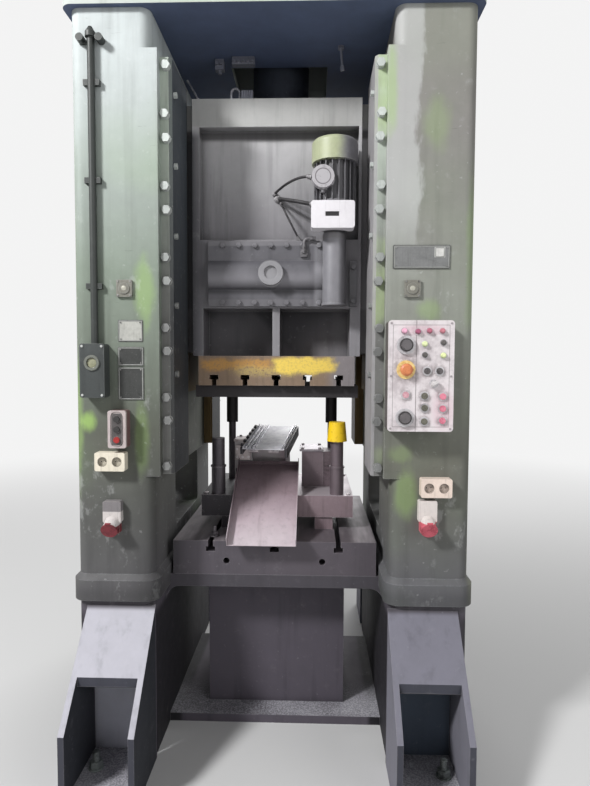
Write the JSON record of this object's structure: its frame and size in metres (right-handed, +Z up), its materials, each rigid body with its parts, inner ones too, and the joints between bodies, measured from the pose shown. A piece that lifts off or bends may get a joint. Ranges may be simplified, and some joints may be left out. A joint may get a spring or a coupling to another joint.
{
  "type": "mechanical stamping press",
  "caption": "Straight-side mechanical stamping press: crank and gear drive with a flywheel, motor-adjusted slide, slotted bolster, small die set and control box.",
  "frame": {"origin": "on the floor, in the middle between the four feet", "axes": "+Z up, the working front faces -Y, +X to the right of someone who stands in front"},
  "size_m": [1.754, 2.012, 4.637],
  "materials": {
    "cast_frame": "worn grey-green paint",
    "upright": "worn grey-green paint with brighter green patches",
    "steel_dark": "dark oiled steel",
    "bolster_steel": "scuffed machined plate",
    "gib": "green paint with bare edges",
    "dark_fitting": "dark painted sheet and conduit",
    "box_paint": "grey box paint",
    "lid_paint": "pale lid paint",
    "lamps": "coloured lenses and bright rings",
    "station": "worn grey paint",
    "socket_plastic": "yellowed plastic",
    "motor_paint": "grey-green motor paint",
    "belt_rubber": "black belt rubber",
    "bronze": "bronze",
    "die_steel": "oily die steel",
    "post_steel": "dark posts with a yellow cap",
    "rail_alu": "ribbed sheet",
    "chute_steel": "scratched sheet",
    "iron": "cast iron",
    "shaft_steel": "turned steel",
    "slide_paint": "grey paint",
    "slide_plate": "bare plate with yellow paint left on it",
    "motor_black": "black motor paint",
    "cowl": "yellow-green sheet cowl",
    "counter": "white box",
    "cable": "black hose",
    "shoe_dark": "dark oily shoe",
    "lid_grey": "pale flap",
    "palm_black": "black caps",
    "stop_orange": "orange mushroom head",
    "pink": "pink cap",
    "cap_black": "black caps",
    "knob_white": "white knob",
    "cap_grey": "olive caps",
    "cap_red": "faded red caps"
  },
  "bodies": {
    "frame": {"bed": "cast_frame", "left_upright": "upright", "right_upright": "upright", "crown": "upright", "tie_rods": "steel_dark", "bolster": "bolster_steel", "gib_brackets": "gib", "gib_bolts": "steel_dark", "junction_box": "dark_fitting", "side_plates": "dark_fitting", "control_box": "box_paint", "control_lid": "lid_paint", "panel_fittings": "lamps", "button_station": "station", "sockets": "socket_plastic", "main_motor": "motor_paint", "v_belts": "belt_rubber", "shaft_bearings": "bronze", "lower_die_shoe": "die_steel", "guide_posts": "post_steel", "part_rail": "rail_alu", "chute": "chute_steel"},
    "ram": {"slide_body": "slide_paint", "slide_plate": "slide_plate", "adjust_cover": "slide_paint", "adjust_motor": "motor_black", "fan_cowl": "cowl", "counter_box": "counter", "motor_cable": "cable", "power_cable": "cable", "sensor_cable": "cable", "upper_die_shoe": "shoe_dark"},
    "screw": {"adjusting_screw": "shaft_steel"},
    "rod": {"conrod": "iron", "crank_pin": "shaft_steel"},
    "wheel": {"worm_wheel": "bronze"},
    "worm": {"worm_shaft": "shaft_steel"},
    "crank": {"crankshaft": "shaft_steel", "bull_gear": "iron"},
    "back_shaft": {"pinion_shaft": "shaft_steel"},
    "fly": {"flywheel": "iron"},
    "pulley": {"motor_pulley": "iron"},
    "pink_button_body": {"pink_button": "pink"},
    "black_button_left_body": {"black_button_left": "cap_black"},
    "black_button_right_body": {"black_button_right": "cap_black"},
    "grey_button_top_body": {"grey_button_top": "cap_grey"},
    "grey_button_middle_body": {"grey_button_middle": "cap_grey"},
    "grey_button_bottom_body": {"grey_button_bottom": "cap_grey"},
    "red_button_top_body": {"red_button_top": "cap_red"},
    "red_button_middle_body": {"red_button_middle": "cap_red"},
    "red_button_bottom_body": {"red_button_bottom": "cap_red"},
    "palm_button_top_body": {"palm_button_top": "palm_black"},
    "palm_button_bottom_body": {"palm_button_bottom": "palm_black"},
    "station_button_top_body": {"station_button_top": "cap_black"},
    "station_button_middle_body": {"station_button_middle": "cap_black"},
    "station_button_bottom_body": {"station_button_bottom": "cap_red"},
    "stop_body": {"stop_button": "stop_orange"},
    "selector_body": {"selector_knob": "knob_white"},
    "flap_left": {"socket_lid_left": "lid_grey"},
    "flap_right": {"socket_lid_right": "lid_grey"}
  },
  "joints": [
    {"name": "ram_stroke", "type": "slide", "parent": "frame", "child": "ram", "axis": [0, 0, -1], "range_m": [0, 0.16]},
    {"name": "rod_swing", "type": "hinge", "parent": "ram", "child": "screw", "pos_m": [0, 0, 1.99], "axis": [0, 1, 0], "range_deg": [-2.8, 2.8]},
    {"name": "height_adjust", "type": "slide", "parent": "screw", "child": "rod", "axis": [0, 0, 1], "range_m": [0, 0.08]},
    {"name": "wheel_turn", "type": "hinge", "parent": "ram", "child": "wheel", "pos_m": [0, 0, 2.163], "axis": [0, 0, 1], "continuous": true},
    {"name": "worm_turn", "type": "hinge", "parent": "ram", "child": "worm", "pos_m": [0, -0.3405, 2.163], "axis": [1, 0, 0], "continuous": true},
    {"name": "crank_turn", "type": "hinge", "parent": "frame", "child": "crank", "pos_m": [0, 0, 3.72], "axis": [0, 1, 0], "continuous": true},
    {"name": "back_shaft_turn", "type": "hinge", "parent": "frame", "child": "back_shaft", "pos_m": [0.35638, 0, 4.07638], "axis": [0, 1, 0], "continuous": true},
    {"name": "flywheel_turn", "type": "hinge", "parent": "frame", "child": "fly", "pos_m": [0.35638, 0, 4.07638], "axis": [0, 1, 0], "continuous": true},
    {"name": "motor_turn", "type": "hinge", "parent": "frame", "child": "pulley", "pos_m": [-0.43, 0, 4.437], "axis": [0, 1, 0], "continuous": true},
    {"name": "pink_button_press", "type": "slide", "parent": "frame", "child": "pink_button_body", "axis": [0, 1, 0], "range_m": [0, 0.005], "stiffness_N_per_m": 400, "springref_m": -0.002},
    {"name": "black_button_left_press", "type": "slide", "parent": "frame", "child": "black_button_left_body", "axis": [0, 1, 0], "range_m": [0, 0.005], "stiffness_N_per_m": 400, "springref_m": -0.002},
    {"name": "black_button_right_press", "type": "slide", "parent": "frame", "child": "black_button_right_body", "axis": [0, 1, 0], "range_m": [0, 0.005], "stiffness_N_per_m": 400, "springref_m": -0.002},
    {"name": "grey_button_top_press", "type": "slide", "parent": "frame", "child": "grey_button_top_body", "axis": [0, 1, 0], "range_m": [0, 0.005], "stiffness_N_per_m": 400, "springref_m": -0.002},
    {"name": "grey_button_middle_press", "type": "slide", "parent": "frame", "child": "grey_button_middle_body", "axis": [0, 1, 0], "range_m": [0, 0.005], "stiffness_N_per_m": 400, "springref_m": -0.002},
    {"name": "grey_button_bottom_press", "type": "slide", "parent": "frame", "child": "grey_button_bottom_body", "axis": [0, 1, 0], "range_m": [0, 0.005], "stiffness_N_per_m": 400, "springref_m": -0.002},
    {"name": "red_button_top_press", "type": "slide", "parent": "frame", "child": "red_button_top_body", "axis": [0, 1, 0], "range_m": [0, 0.005], "stiffness_N_per_m": 400, "springref_m": -0.002},
    {"name": "red_button_middle_press", "type": "slide", "parent": "frame", "child": "red_button_middle_body", "axis": [0, 1, 0], "range_m": [0, 0.005], "stiffness_N_per_m": 400, "springref_m": -0.002},
    {"name": "red_button_bottom_press", "type": "slide", "parent": "frame", "child": "red_button_bottom_body", "axis": [0, 1, 0], "range_m": [0, 0.005], "stiffness_N_per_m": 400, "springref_m": -0.002},
    {"name": "palm_button_top_press", "type": "slide", "parent": "frame", "child": "palm_button_top_body", "axis": [0, 1, 0], "range_m": [0, 0.008], "stiffness_N_per_m": 800, "springref_m": -0.002},
    {"name": "palm_button_bottom_press", "type": "slide", "parent": "frame", "child": "palm_button_bottom_body", "axis": [0, 1, 0], "range_m": [0, 0.008], "stiffness_N_per_m": 800, "springref_m": -0.002},
    {"name": "station_button_top_press", "type": "slide", "parent": "frame", "child": "station_button_top_body", "axis": [0, 1, 0], "range_m": [0, 0.005], "stiffness_N_per_m": 400, "springref_m": -0.002},
    {"name": "station_button_middle_press", "type": "slide", "parent": "frame", "child": "station_button_middle_body", "axis": [0, 1, 0], "range_m": [0, 0.005], "stiffness_N_per_m": 400, "springref_m": -0.002},
    {"name": "station_button_bottom_press", "type": "slide", "parent": "frame", "child": "station_button_bottom_body", "axis": [0, 1, 0], "range_m": [0, 0.005], "stiffness_N_per_m": 400, "springref_m": -0.002},
    {"name": "stop_press", "type": "slide", "parent": "frame", "child": "stop_body", "axis": [0, 1, 0], "range_m": [0, 0.006]},
    {"name": "selector_turn", "type": "hinge", "parent": "frame", "child": "selector_body", "pos_m": [0.665, -0.78, 1.67], "axis": [0, 1, 0], "range_deg": [-45, 45]},
    {"name": "flap_left_turn", "type": "hinge", "parent": "frame", "child": "flap_left", "pos_m": [-0.683, -0.76411, 1.07257], "axis": [-1, 0, 0], "range_deg": [0, 100], "stiffness_Nm_per_rad": 0.05, "springref_deg": -28.65},
    {"name": "flap_right_turn", "type": "hinge", "parent": "frame", "child": "flap_right", "pos_m": [0.665, -0.76411, 1.09057], "axis": [-1, 0, 0], "range_deg": [0, 100], "stiffness_Nm_per_rad": 0.05, "springref_deg": -28.65}
  ],
  "couplings": [
    {"joint": "back_shaft_turn", "follows": "crank_turn", "ratio": -5},
    {"joint": "motor_turn", "follows": "flywheel_turn", "ratio": 4.8},
    {"joint": "worm_turn", "follows": "wheel_turn", "ratio": 48}
  ]
}
